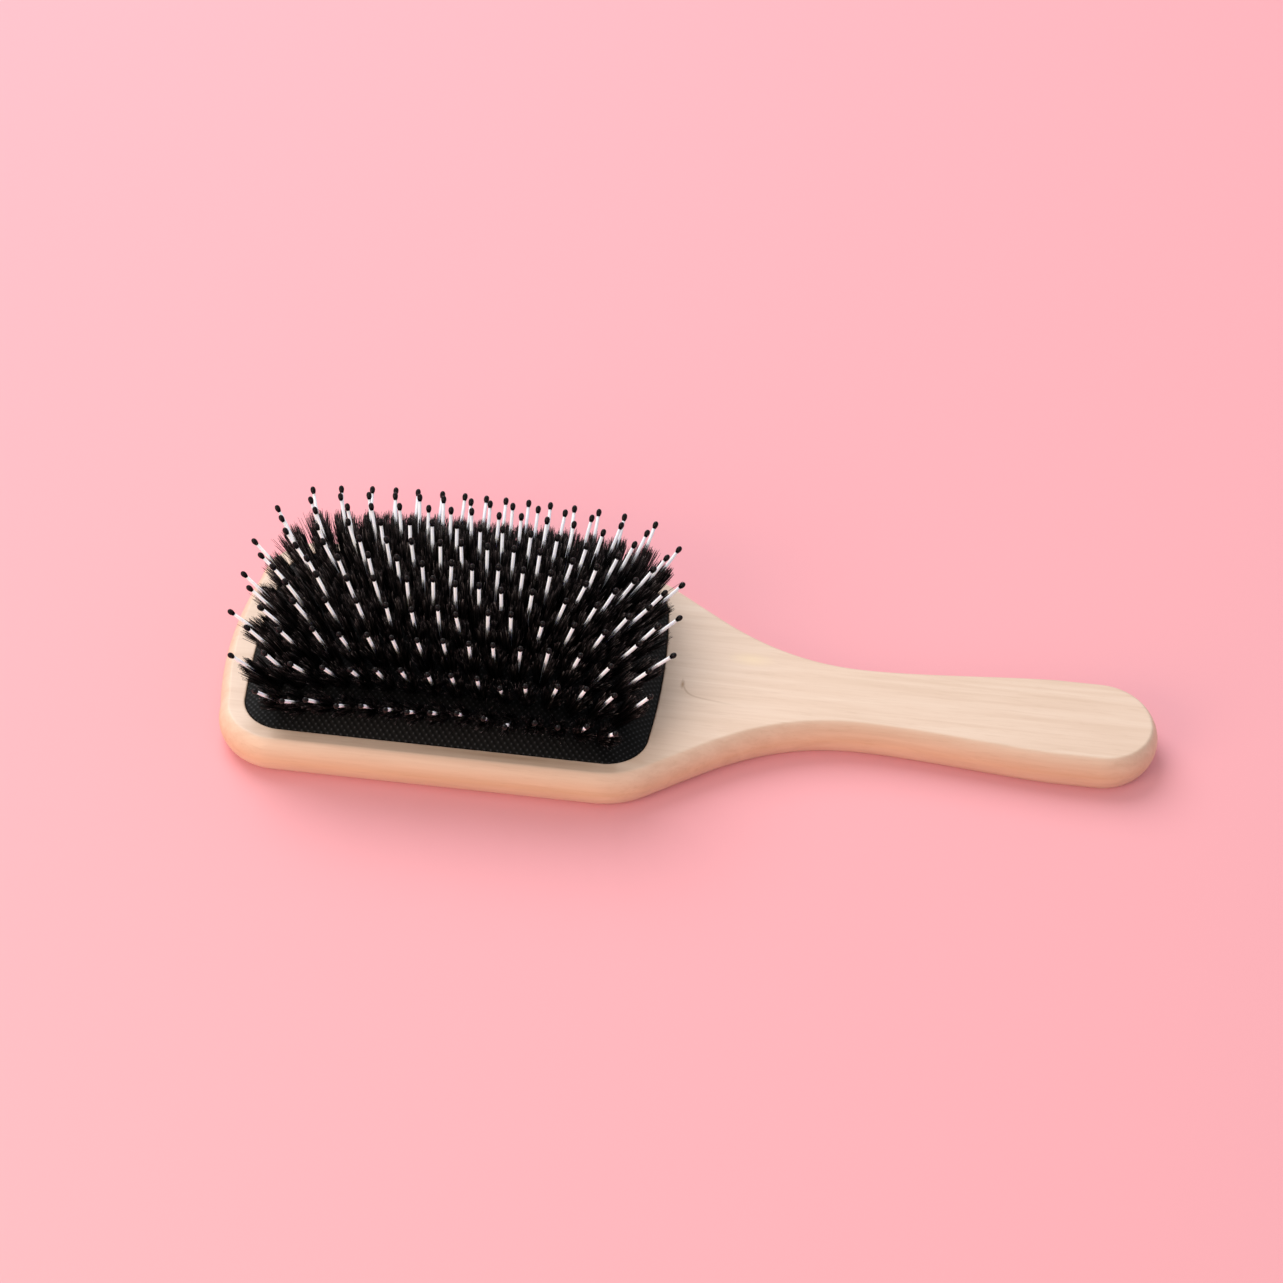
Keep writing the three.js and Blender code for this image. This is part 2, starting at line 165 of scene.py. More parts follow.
def board_outline(count):
    """The board's outline at mid height: grip, neck, flank, shoulder, head corner and bowed head end."""
    slant = math.hypot(1, SHOULDER_SLOPE)
    flank_width = HEAD_HALF_WIDTH - SHOULDER_SLOPE * (FLANK_END_X - SHOULDER_X)
    shoulder_end = SHOULDER_X + SHOULDER_ROUNDING / slant
    shoulder_width = HEAD_HALF_WIDTH - SHOULDER_SLOPE * (shoulder_end - SHOULDER_X)
    corner_x = -HALF_LENGTH + HEAD_END_BOW + HEAD_CORNER_RADIUS
    corner_y = HEAD_HALF_WIDTH - HEAD_CORNER_RADIUS
    reach = FLANK_EASE / slant
    half = np.concatenate([
        arc(HALF_LENGTH - GRIP_END_LENGTH, 0, GRIP_END_LENGTH, GRIP_HALF_WIDTH, 0, 90, 60),
        bezier([(GRIP_X, GRIP_HALF_WIDTH), (GRIP_X - GRIP_EASE, GRIP_HALF_WIDTH),
                (NECK_X + NECK_EASE_TO_GRIP, NECK_HALF_WIDTH), (NECK_X, NECK_HALF_WIDTH)], 60),
        bezier([(NECK_X, NECK_HALF_WIDTH), (NECK_X - NECK_EASE_TO_FLANK, NECK_HALF_WIDTH),
                (FLANK_END_X + reach, flank_width - SHOULDER_SLOPE * reach),
                (FLANK_END_X, flank_width)], 60)[1:],
        bezier([(shoulder_end, shoulder_width), (SHOULDER_X, HEAD_HALF_WIDTH),
                (SHOULDER_X - SHOULDER_ROUNDING, HEAD_HALF_WIDTH)], 20),
        arc(corner_x, corner_y, HEAD_CORNER_RADIUS, HEAD_CORNER_RADIUS, 90, 180, 40),
        bezier([(-HALF_LENGTH + HEAD_END_BOW, corner_y), (-HALF_LENGTH, corner_y / 2),
                (-HALF_LENGTH, 0)], 30)[1:],
    ])
    return spread_evenly(mirrored(half), count)


def recess_outline(count, grow=0.0):
    """The recess's outline, grown outwards, round the cushion's own centre."""
    radius = RECESS_CORNER_RADIUS + grow
    corner_x = RECESS_HALF_LENGTH - RECESS_END_BOW - RECESS_CORNER_RADIUS
    corner_y = RECESS_HALF_WIDTH - RECESS_CORNER_RADIUS
    end_x = RECESS_HALF_LENGTH + grow
    side_y = RECESS_HALF_WIDTH + grow
    eighth = count // 8
    end = bezier([(end_x, 0), (end_x, corner_y / 2), (end_x - RECESS_END_BOW, corner_y)], eighth // 2)[:-1]
    corner = arc(corner_x, corner_y, radius, radius, 0, 90, eighth)[:-1]
    side_points = count // 4 - eighth // 2 - eighth + 1
    side = np.stack([np.linspace(corner_x, 0, side_points), np.full(side_points, side_y)], axis=1)
    quarter = np.concatenate([end, corner, side])
    half = np.concatenate([quarter, (quarter * [-1, 1])[::-1][1:]])
    return mirrored(half)


def dome_height(x, y):
    """Height of the dome over the board's face at places given from the cushion's centre."""
    u = np.minimum(1, np.abs(x) / RECESS_HALF_LENGTH)
    v = np.minimum(1, np.abs(y) / RECESS_HALF_WIDTH)
    return DOME_HEIGHT * (1 - u**DOME_POWER_X) * (1 - v**DOME_POWER_Y)


def dome_fall(x, y):
    """How steeply the dome falls away from its centre, along x and along y."""
    u, v = abs(x) / RECESS_HALF_LENGTH, abs(y) / RECESS_HALF_WIDTH
    steep_x = DOME_HEIGHT / RECESS_HALF_LENGTH * DOME_POWER_X
    steep_y = DOME_HEIGHT / RECESS_HALF_WIDTH * DOME_POWER_Y
    fall_x = steep_x * u ** (DOME_POWER_X - 1) * (1 - v**DOME_POWER_Y)
    fall_y = steep_y * v ** (DOME_POWER_Y - 1) * (1 - u**DOME_POWER_X)
    return math.copysign(fall_x, x), math.copysign(fall_y, y)


class Pin:
    """Where a pin leaves the cushion, the way it points, and the two directions across it."""

    def __init__(self, x, y, wander):
        fall_x, fall_y = dome_fall(x, y)
        corner_share = (x / RECESS_HALF_LENGTH) ** 2 * (y / RECESS_HALF_WIDTH) ** CORNER_POWER
        lean = np.array([SPLAY_X * fall_x, SPLAY_Y * fall_y + CORNER_LEAN * corner_share * np.sign(y), 1.0])
        self.base = np.array([CUSHION_X + x, y, BOARD_TOP + dome_height(x, y)])
        self.sink = np.linalg.norm(lean) / (1 + lean[0] * fall_x + lean[1] * fall_y)
        direction = lean / np.linalg.norm(lean) + [*wander, 0]
        self.axis = direction / np.linalg.norm(direction)
        along = np.array([1.0, 0, 0]) - self.axis[0] * self.axis
        self.along = along / np.linalg.norm(along)
        self.across = np.cross(self.axis, self.along)

    def at(self, height, offset=(0.0, 0.0)):
        """A point at this height along the pin's line, and off it by `offset`."""
        return self.base + self.axis * height + self.along * offset[0] + self.across * offset[1]


def pins_of_row(row, rng):
    """One row's pins, evenly spaced, each with a small wander. An even row has one pin more."""
    count = LONG_ROW_PINS - row % 2
    y = (row - (ROW_COUNT + 1) / 2) * ROW_PITCH_Y
    xs = FIELD_SHIFT_X + (np.arange(count) - (count - 1) / 2) * PIN_PITCH_X
    return [Pin(x, y, rng.normal(0, PIN_JITTER, 2)) for x in xs]


rng = np.random.RandomState(SEED)
ROWS = {row: pins_of_row(row, rng) for row in range(1, ROW_COUNT + 1)}


# ---- Mesh helpers --------------------------------------------------------------------------------

def mesh_object(name, points, faces, materials, face_materials=None, smooth=True):
    mesh = bpy.data.meshes.new(name)
    mesh.from_pydata(np.asarray(points).tolist(), [], [list(map(int, f)) for f in faces])
    for material in materials:
        mesh.materials.append(material)
    if face_materials is not None:
        mesh.polygons.foreach_set("material_index", np.asarray(face_materials, np.int32))
    mesh.polygons.foreach_set("use_smooth", np.full(len(mesh.polygons), smooth))
    mesh.validate()
    mesh.update()
    piece = bpy.data.objects.new(name, mesh)
    bpy.context.scene.collection.objects.link(piece)
    return piece


def bands(first, rings, count):
    """Quads between rings of `count` points each, stored one after another from index `first`."""
    k = np.arange(count)
    after = (k + 1) % count
    low = first + np.arange(rings - 1)[:, None] * count
    return np.stack([low + k, low + after, low + count + after, low + count + k], axis=-1).reshape(-1, 4)


def facing_out(piece):
    """Turns every face of a closed mesh outwards."""
    shell = bmesh.new()
    shell.from_mesh(piece.data)
    bmesh.ops.recalc_face_normals(shell, faces=shell.faces)
    shell.to_mesh(piece.data)
    shell.free()
    return piece


# ---- Materials -----------------------------------------------------------------------------------

class Nodes:
    """A small helper over one material's node tree."""

    def __init__(self, name):
        self.material = bpy.data.materials.new(name)
        self.material.use_nodes = True
        self.tree = self.material.node_tree
        self.shader = self.tree.nodes["Principled BSDF"]

    def add(self, kind, inputs=None, **settings):
        node = self.tree.nodes.new(kind)
        for key, value in settings.items():
            setattr(node, key, value)
        for key, value in (inputs or {}).items():
            self.put(node.inputs[key], value)
        return node

    def put(self, socket, value):
        if isinstance(value, bpy.types.NodeSocket):
            self.tree.links.new(value, socket)
        else:
            socket.default_value = value

    def shade(self, **inputs):
        for key, value in inputs.items():
            self.put(self.shader.inputs[key.replace("_", " ")], value)

    def math(self, operation, a, b=0.0, clamp=False):
        node = self.add("ShaderNodeMath", {0: a, 1: b}, operation=operation, use_clamp=clamp)
        return node.outputs[0]

    def ramp(self, value, stops):
        node = self.add("ShaderNodeValToRGB", {"Fac": value})
        elements = node.color_ramp.elements
        while len(elements) < len(stops):
            elements.new(0.5)
        for element, (position, colour) in zip(elements, stops):
            element.position = position
            element.color = (*colour, 1)
        return node.outputs["Color"]

    def mix(self, share, a, b, blend="MIX"):
        node = self.add("ShaderNodeMix", data_type="RGBA", blend_type=blend)
        self.put(node.inputs[0], share)
        self.put(node.inputs[6], a if isinstance(a, bpy.types.NodeSocket) else (*a, 1))
        self.put(node.inputs[7], b if isinstance(b, bpy.types.NodeSocket) else (*b, 1))
        return node.outputs[2]

    def place(self, scale, shift=(0, 0, 0), turn=0.0):
        """Object coordinates, in metres, moved, turned about Z by degrees and scaled."""
        source = self.add("ShaderNodeTexCoord").outputs["Object"]
        mapping = self.add("ShaderNodeMapping", {"Vector": source}, vector_type="POINT")
        mapping.inputs["Location"].default_value = shift
        mapping.inputs["Rotation"].default_value = (0, 0, math.radians(turn))
        mapping.inputs["Scale"].default_value = scale
        return mapping.outputs["Vector"]

    def noise(self, vector, scale, detail=4.0, roughness=0.5, distortion=0.0):
        return self.add("ShaderNodeTexNoise", {
            "Vector": vector, "Scale": scale, "Detail": detail, "Roughness": roughness,
            "Distortion": distortion,
        }).outputs["Fac"]

    def bump(self, height, distance, strength=1.0):
        node = self.add("ShaderNodeBump", {"Height": height, "Distance": distance, "Strength": strength})
        self.put(self.shader.inputs["Normal"], node.outputs["Normal"])


# painted bounce light: side-facing wood is multiplied by this warm tint, standing in for light reflected
# from the pink floor
PAINTED_FLOOR_BOUNCE_TINT = (0.96, 0.84, 0.68)
KNOT = (-2.0 * MM, -1.2 * MM)
KNOT_DROP, KNOT_TURN, KNOT_DRIFT = 5.3 * MM, 1.2 * MM, 0.14
KNOT_SPOT_SHIFT, KNOT_SPOT_HALF_SIZES = (0.25 * MM, -1.5 * MM), (0.75 * MM, 2.1 * MM)
KNOT_TAIL = 17 * MM
KNOT_TAIL_DARKNESS = 0.6
KNOT_LINE = 0.42 * MM
KNOT_TONE = (0.38, 0.21, 0.11)
PALE_PATCH, PALE_PATCH_HALF_SIZES = (15.4 * MM, 9.5 * MM), (7 * MM, 3 * MM)
PALE_PATCH_TONE = (0.86, 0.68, 0.44)
# a dark band along the near rim by the recess: partly brown grain, partly painted shade standing in for the
# cushion's and bristles' shadow
GRAIN_AND_SHADE_STREAK, GRAIN_AND_SHADE_STREAK_HALF_SIZES = (-43 * MM, -36.2 * MM), (34 * MM, 1.3 * MM)
GRAIN_AND_SHADE_STREAK_TONE = (0.42, 0.25, 0.14)
FACE_FROM = 0.7  # share of the board's height above which the face's marks show

WEAVE_PITCH = 1.7 * MM
END_SHARPNESS = 13.0


def wood_material():
    """Pale maple: faint long streaks, fine short flecks, sides painted warmer as painted floor bounce
    light, under satin lacquer.
    """
    nodes = Nodes("pale_maple")
    streaks = nodes.noise(nodes.place((14, 300, 300), turn=2), 1.6, detail=5, roughness=0.6, distortion=0.5)
    broad = nodes.noise(nodes.place((3, 22, 22), shift=(0.4, 0.1, 0)), 1.2, detail=2)
    flecks = nodes.noise(nodes.place((170, 1500, 1500), turn=1), 1.0, detail=2, roughness=0.6)
    tone = nodes.ramp(streaks, [(0.3, (0.67, 0.495, 0.38)), (0.5, (0.735, 0.56, 0.445)),
                                (0.7, (0.785, 0.62, 0.505))])
    tone = nodes.mix(nodes.math("MULTIPLY", broad, 0.4), tone, (0.76, 0.57, 0.46))
    fleck_share = nodes.ramp(flecks, [(0.55, (0, 0, 0)), (0.75, (1, 1, 1))])
    tone = nodes.mix(nodes.math("MULTIPLY", fleck_share, 0.16), tone, (0.50, 0.33, 0.22))
    facing = nodes.add("ShaderNodeSeparateXYZ", {0: nodes.add("ShaderNodeNewGeometry").outputs["Normal"]})
    side = nodes.math("SUBTRACT", 1.0, nodes.math("ABSOLUTE", facing.outputs["Z"]), clamp=True)
    # paints the floor's bounce light onto side-facing wood
    tone = nodes.mix(side, tone, nodes.mix(1.0, tone, PAINTED_FLOOR_BOUNCE_TINT, blend="MULTIPLY"))
    nodes.shade(Base_Color=face_marks(nodes, tone))
    nodes.shader.inputs["Roughness"].default_value = 0.48
    nodes.shader.inputs["Specular IOR Level"].default_value = 0.4
    nodes.shader.inputs["Coat Weight"].default_value = 0.25
    nodes.shader.inputs["Coat Roughness"].default_value = 0.28
    nodes.bump(nodes.math("ADD", nodes.math("MULTIPLY", streaks, 0.6), fleck_share), 0.00003, 0.35)
    return nodes.material


def oval_share(nodes, x, y, centre, half_sizes):
    """1 at the centre of an oval on the board's face, falling to 0 at its edge."""
    u = nodes.math("DIVIDE", nodes.math("SUBTRACT", x, centre[0]), half_sizes[0])
    v = nodes.math("DIVIDE", nodes.math("SUBTRACT", y, centre[1]), half_sizes[1])
    away = nodes.math("SQRT", nodes.math("ADD", nodes.math("POWER", u, 2.0), nodes.math("POWER", v, 2.0)))
    return nodes.math("SUBTRACT", 1.0, away, clamp=True)


def knot_share(nodes, x, y):
    """1 on the pin knot by the shoulder, and less on the grain line that hooks round it."""
    spot_centre = (KNOT[0] + KNOT_SPOT_SHIFT[0], KNOT[1] + KNOT_SPOT_SHIFT[1])
    spot = oval_share(nodes, x, y, spot_centre, KNOT_SPOT_HALF_SIZES)
    ahead = nodes.math("SUBTRACT", x, KNOT[0])
    turned = nodes.math("EXPONENT", nodes.math("DIVIDE", ahead, -KNOT_TURN))
    drop = nodes.math("MULTIPLY", nodes.math("SUBTRACT", 1.0, turned), KNOT_DROP)
    line = nodes.math("ADD", drop, nodes.math("MULTIPLY", ahead, KNOT_DRIFT))
    off = nodes.math("ABSOLUTE", nodes.math("ADD", nodes.math("SUBTRACT", y, KNOT[1]), line))
    slope = nodes.math("ADD", nodes.math("MULTIPLY", turned, KNOT_DROP / KNOT_TURN), KNOT_DRIFT)
    stretch = nodes.math("SQRT", nodes.math("ADD", nodes.math("POWER", slope, 2.0), 1.0))
    from_line = nodes.math("DIVIDE", nodes.math("DIVIDE", off, stretch), KNOT_LINE)
    thin = nodes.math("SUBTRACT", 1.0, from_line, clamp=True)
    fade = nodes.math("SUBTRACT", 1.0, nodes.math("DIVIDE", ahead, KNOT_TAIL), clamp=True)
    past_knot = nodes.math("GREATER_THAN", ahead, 0.0)
    tail = nodes.math("MULTIPLY", past_knot, nodes.math("MULTIPLY", thin, fade))
    return nodes.math("MAXIMUM", spot, nodes.math("MULTIPLY", tail, KNOT_TAIL_DARKNESS))


def face_marks(nodes, tone):
    """Adds the marks that lie only on the board's face: the knot, a pale patch, and a dark streak by the
    recess that is partly brown grain and partly painted shade.
    """
    place = nodes.add("ShaderNodeSeparateXYZ", {0: nodes.add("ShaderNodeTexCoord").outputs["Object"]})
    x, y = place.outputs["X"], place.outputs["Y"]
    on_face = nodes.math("GREATER_THAN", place.outputs["Z"], BOARD_TOP * FACE_FROM)
    patch = nodes.math("MULTIPLY", oval_share(nodes, x, y, PALE_PATCH, PALE_PATCH_HALF_SIZES), on_face)
    tone = nodes.mix(nodes.math("MULTIPLY", patch, 0.5), tone, PALE_PATCH_TONE)
    # the near rim's streak: brown grain mixed with painted shade from the cushion and bristles
    ragged = nodes.noise(nodes.place((60, 400, 400)), 2.0, detail=3)
    grain_and_shade_streak = nodes.math("MULTIPLY", oval_share(nodes, x, y, GRAIN_AND_SHADE_STREAK, GRAIN_AND_SHADE_STREAK_HALF_SIZES), ragged)
    tone = nodes.mix(nodes.math("MULTIPLY", nodes.math("MULTIPLY", grain_and_shade_streak, on_face), 0.8), tone,
                     GRAIN_AND_SHADE_STREAK_TONE)
    return nodes.mix(nodes.math("MULTIPLY", knot_share(nodes, x, y), on_face), tone, KNOT_TONE)


def cloth_material():
    """Black woven face of the rubber sheet: small raised threads, their tops painted lighter as a painted
    highlight.
    """
    nodes = Nodes("black_woven_rubber")
    position = nodes.add("ShaderNodeSeparateXYZ", {0: nodes.place((1, 1, 1))})
    wave = 2 * math.pi / WEAVE_PITCH
    across = nodes.math("SINE", nodes.math("MULTIPLY", position.outputs["X"], wave))
    along = nodes.math("SINE", nodes.math("MULTIPLY", position.outputs["Y"], wave))
    threads = nodes.math("MULTIPLY_ADD", nodes.math("MULTIPLY", across, along), 0.5)
    threads.node.inputs[2].default_value = 0.5
    wear = nodes.noise(nodes.place((1, 1, 1)), 90, detail=3)
    # painted highlight: the thread tops are coloured lighter, standing in for light caught on the weave
    tone = nodes.ramp(threads, [(0.5, (0.0018, 0.0019, 0.0022)), (0.85, (0.008, 0.0085, 0.01)),
                                (1.0, (0.045, 0.047, 0.052))])
    tone = nodes.mix(nodes.math("MULTIPLY", wear, 0.3), tone, (0.004, 0.004, 0.0045))
    nodes.shade(Base_Color=tone)
    nodes.shade(Roughness=nodes.math("SUBTRACT", 0.7, nodes.math("MULTIPLY", threads, 0.2)))
    nodes.shader.inputs["Specular IOR Level"].default_value = 0.12
    nodes.bump(threads, 0.00012, 0.8)
    return nodes.material


def nylon_material():
    """White nylon of the pins, a little milky."""
    nodes = Nodes("white_nylon")
    haze = nodes.noise(nodes.place((1, 1, 1)), 700, detail=2)
    nodes.shade(Base_Color=nodes.ramp(haze, [(0.3, (0.84, 0.86, 0.95)), (0.7, (0.90, 0.92, 1.0))]))
    nodes.shader.inputs["Roughness"].default_value = 0.3
    nodes.shader.inputs["Subsurface Weight"].default_value = 0.35
    nodes.shader.inputs["Subsurface Radius"].default_value = (0.8, 0.8, 1.0)
    nodes.shader.inputs["Subsurface Scale"].default_value = 0.0006
    return nodes.material


def tip_material():
    """Glossy black dipped ball tips."""
    nodes = Nodes("black_tip")
    dust = nodes.noise(nodes.place((1, 1, 1)), 1500, detail=2)
    nodes.shade(Base_Color=nodes.ramp(dust, [(0.4, (0.003, 0.0025, 0.003)), (0.8, (0.009, 0.007, 0.008))]))
    nodes.shader.inputs["Roughness"].default_value = 0.25
    nodes.shader.inputs["Specular IOR Level"].default_value = 0.16
    return nodes.material


def bristle_material():
    """Black natural bristle, each of its own tone, and some with a painted pale glint at the cut end."""
    nodes = Nodes("black_bristle")
    tip = nodes.add("ShaderNodeAttribute", attribute_name="tip").outputs["Fac"]
    each = nodes.add("ShaderNodeAttribute", attribute_name="shade").outputs["Fac"]
    root_tone = nodes.ramp(each, [(0.0, (0.0038, 0.0034, 0.0038)), (0.9, (0.008, 0.007, 0.0076)),
                                  (1.0, (0.02, 0.015, 0.013))])
    # painted glints: some hairs' ends are painted reddish-brown to near white, standing in for light caught
    # and reflected on the hair ends
    end_glint_tone = nodes.ramp(each, [(0.0, (0.004, 0.003, 0.003)), (0.55, (0.012, 0.008, 0.008)),
                                 (0.75, (0.06, 0.046, 0.048)), (0.9, (0.2, 0.16, 0.165)),
                                 (1.0, (0.52, 0.46, 0.46))])
    nodes.shade(Base_Color=nodes.mix(nodes.math("POWER", tip, END_SHARPNESS), root_tone, end_glint_tone))
    nodes.shader.inputs["Roughness"].default_value = 0.4
    nodes.shader.inputs["Specular IOR Level"].default_value = 0.22
    return nodes.material


WOOD = wood_material()
CLOTH = cloth_material()
NYLON = nylon_material()
TIP = tip_material()
BRISTLE = bristle_material()


# ---- Wooden body ---------------------------------------------------------------------------------

BOARD_POINTS = 640
RECESS_POINTS = 400
SIDE_RINGS = 15
WORN_EDGE = 0.25 * MM
FLAT_MARGIN = 0.3 * MM


def side_bulge(x):
    """How far the side stands out at mid height: more round the head, less along the handle."""
    share = np.clip((x - BULGE_CHANGE[0]) / (BULGE_CHANGE[1] - BULGE_CHANGE[0]), 0, 1)
    return HEAD_SIDE_BULGE + (HANDLE_SIDE_BULGE - HEAD_SIDE_BULGE) * share**2 * (3 - 2 * share)


def board_rings(outline):
    """Rings round the board from its back, up the bulging side between slightly worn edges, to its face."""
    tangent = np.roll(outline, -1, axis=0) - np.roll(outline, 1, axis=0)
    tangent /= np.linalg.norm(tangent, axis=1)[:, None]
    inward = np.stack([-tangent[:, 1], tangent[:, 0]], axis=1)
    bulge = side_bulge(outline[:, 0])
    middle = BOARD_TOP / 2
    half_arc = 2 * np.arctan(bulge / middle)
    radius = middle / np.sin(half_arc)

    def ring(drawn_in, height):
        return np.column_stack([outline + inward * drawn_in[:, None], height])

    def side_ring(share):
        return ring(radius * (1 - np.cos(share * half_arc)), middle + radius * np.sin(share * half_arc))

    def flat_rings(height):
        level = np.full_like(bulge, height)
        return [ring(bulge + WORN_EDGE + margin, level) for margin in (FLAT_MARGIN, 0)]

    worn = WORN_EDGE / middle
    side = [side_ring(share) for share in np.linspace(worn - 1, 1 - worn, SIDE_RINGS)]
    return [*flat_rings(0), *side, *flat_rings(BOARD_TOP)[::-1]]


def lifted(outline, z):
    """The outline as points at one height."""
    return np.column_stack([outline, np.full(len(outline), z)])


def fill_flat(shell, loops):
    """Fills the flat region between closed loops of vertices with triangles."""
    edges = []
    for loop in loops:
        edges += [shell.edges.get((a, b)) for a, b in zip(loop, loop[1:] + loop[:1])]
    bmesh.ops.triangle_fill(shell, use_beauty=True, edges=edges)


def build_wooden_body():
    """The board with its recess and groove, as one closed mesh."""
    outer = board_rings(board_outline(BOARD_POINTS))
    outer_points = np.concatenate(outer)

    groove_top = BOARD_TOP - GROOVE_TOP_DEPTH
    groove_low = groove_top - GROOVE_HEIGHT
    floor = BOARD_TOP - RECESS_DEPTH
    edge = [(RECESS_EDGE_ROUND * (1 - math.sin(a)), BOARD_TOP - RECESS_EDGE_ROUND * (1 - math.cos(a)))
            for a in np.linspace(0, math.pi / 2, 5)]
    inner = [(RECESS_EDGE_ROUND + FLAT_MARGIN, BOARD_TOP), *edge, (0, groove_top),
             (GROOVE_REACH, groove_top), (GROOVE_REACH, groove_low), (0, groove_low), (0, floor)]
    inner_points = np.concatenate([
        lifted(recess_outline(RECESS_POINTS, grow) + [CUSHION_X, 0], z) for grow, z in inner
    ])

    faces = np.concatenate([
        bands(0, len(outer), BOARD_POINTS),
        bands(len(outer_points), len(inner), RECESS_POINTS)[:, ::-1],
    ])
    piece = mesh_object("wooden_paddle", np.concatenate([outer_points, inner_points]), faces, [WOOD])
    shell = bmesh.new()
    shell.from_mesh(piece.data)
    shell.verts.ensure_lookup_table()

    def loop(first, count):
        return [shell.verts[i] for i in range(first, first + count)]

    last_outer = len(outer_points) - BOARD_POINTS
    last_inner = len(outer_points) + len(inner_points) - RECESS_POINTS
    fill_flat(shell, [loop(0, BOARD_POINTS)])
    fill_flat(shell, [loop(last_outer, BOARD_POINTS), loop(len(outer_points), RECESS_POINTS)])
    fill_flat(shell, [loop(last_inner, RECESS_POINTS)])
    for face in shell.faces:
        face.smooth = True
    shell.to_mesh(piece.data)
    shell.free()
    facing_out(piece)
    weighted = piece.modifiers.new("flat_faces_stay_flat", "WEIGHTED_NORMAL")
    weighted.weight = 100
    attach(piece, "handle")
    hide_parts("wooden_body")


# ---- Cushion -------------------------------------------------------------------------------------

CUSHION_POINTS = 440
CUSHION_TOP_RINGS = 72
CUSHION_UNDER_RINGS = 14
TOP_RING_CROWDING = 1.15
TOP_RING_LAST_SHARE = 0.997
UNDER_RING_SHARES = (0.96, 0.08)
PUCKER_DEPTH = 0.45 * MM
PUCKER_RADIUS = 1.7 * MM
DEEPEST_PUCKER = 1.3  # puckers of neighbouring tufts add up no further than this
RIM_DROP = 0.15 * MM
SKIRT_DEPTH = 1.2 * MM


def puckered(points):
    """Draws the sheet down a little round each tuft."""
    bases = np.array([pin.base for row in ROWS.values() for pin in row])
    drop = np.zeros(len(points))
    for base in bases:
        away = np.linalg.norm(points[:, :2] - base[:2], axis=1)
        drop += np.exp(-((away / PUCKER_RADIUS) ** 2))
    out = points.copy()
    out[:, 2] -= PUCKER_DEPTH * np.minimum(drop, DEEPEST_PUCKER)
    return out


def dome_ring(outline, share, drop):
    """The outline shrunk to a share of its size and laid on the dome, or `drop` below it."""
    x, y = outline[:, 0], outline[:, 1]
    rise = dome_height(x * share, y * share) - dome_height(x, y) * share**2
    return np.column_stack([CUSHION_X + x * share, y * share, BOARD_TOP + rise - drop])


def build_cushion():
    """The domed sheet as one closed mesh: woven top, short skirt inside the recess, and underside."""
    outline = recess_outline(CUSHION_POINTS, -FIT_GAP)
    inner = recess_outline(CUSHION_POINTS, -SHEET_THICKNESS)
    top_shares = 1 - np.linspace(1, 0, CUSHION_TOP_RINGS + 1)[:-1] ** TOP_RING_CROWDING
    top_shares = np.append(top_shares[1:], TOP_RING_LAST_SHARE)
    under_shares = np.linspace(*UNDER_RING_SHARES, CUSHION_UNDER_RINGS)
    top = puckered(np.concatenate([dome_ring(outline, share, 0) for share in top_shares]))
    under = np.concatenate([dome_ring(outline, share, SHEET_THICKNESS) for share in under_shares])
    rim = np.concatenate([
        lifted(outline + [CUSHION_X, 0], BOARD_TOP - RIM_DROP),
        lifted(outline + [CUSHION_X, 0], BOARD_TOP - SKIRT_DEPTH),
        lifted(inner + [CUSHION_X, 0], BOARD_TOP - SKIRT_DEPTH),
    ])
    crown = puckered(np.array([[CUSHION_X, 0, BOARD_TOP + DOME_HEIGHT]]))
    root = crown - [0, 0, SHEET_THICKNESS]
    points = np.concatenate([top, rim, under, crown, root])
    rings = len(top_shares) + 3 + len(under_shares)
    k = np.arange(CUSHION_POINTS)
    after = (k + 1) % CUSHION_POINTS
    last = (rings - 1) * CUSHION_POINTS
    caps = [[len(points) - 2, a, b] for a, b in zip(k, after)]
    caps += [[len(points) - 1, last + b, last + a] for a, b in zip(k, after)]
    faces = bands(0, rings, CUSHION_POINTS)[:, ::-1].tolist() + caps
    piece = facing_out(mesh_object("cushion_sheet", points, faces, [CLOTH]))
    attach(piece, "handle")
    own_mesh(piece)
    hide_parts("cushion")


# ---- Pins ----------------------------------------------------------------------------------------

def strip_mesh(pins, depth, half_width, half_thickness):
    """The strip under the sheet that a row's feet are moulded on, as points and faces."""
    centres = [pin.at(-depth * pin.sink) for pin in pins]
    points = []
    for pin, centre in zip(pins, centres):
        for a, b in ((-1, -1), (1, -1), (1, 1), (-1, 1)):
            points.append(centre + pin.across * a * half_width + pin.axis * b * half_thickness)
    last = 4 * (len(pins) - 1)
    faces = [[3, 2, 1, 0], [last, last + 1, last + 2, last + 3]]
    return np.array(points), faces + bands(0, len(pins), 4).tolist()


def turned_mesh(pin, profile, sides):
    """A turned piece on the pin's line, closed at both ends, as points and faces."""
    angles = np.linspace(0, 2 * math.pi, sides, endpoint=False)
    rings = [[pin.at(h, (r * math.cos(a), r * math.sin(a))) for a in angles] for r, h in profile[1:-1]]
    points = np.concatenate([*rings, [pin.at(profile[0][1]), pin.at(profile[-1][1])]])
    foot, head = len(points) - 2, len(points) - 1
    last = (len(rings) - 1) * sides
    k = np.arange(sides)
    after = (k + 1) % sides
    faces = bands(0, len(rings), sides).tolist()
    faces += [[foot, b, a] for a, b in zip(k, after)]
    faces += [[head, last + a, last + b] for a, b in zip(k, after)]
    return points, faces


class Gathering:
    """Collects the points, faces and material numbers of many small closed pieces."""

    def __init__(self):
        self.points, self.faces, self.slots, self.count = [], [], [], 0

    def add(self, points, faces, slots):
        self.points.append(points)
        self.faces += [[i + self.count for i in face] for face in faces]
        self.slots += slots if isinstance(slots, list) else [slots] * len(faces)
        self.count += len(points)


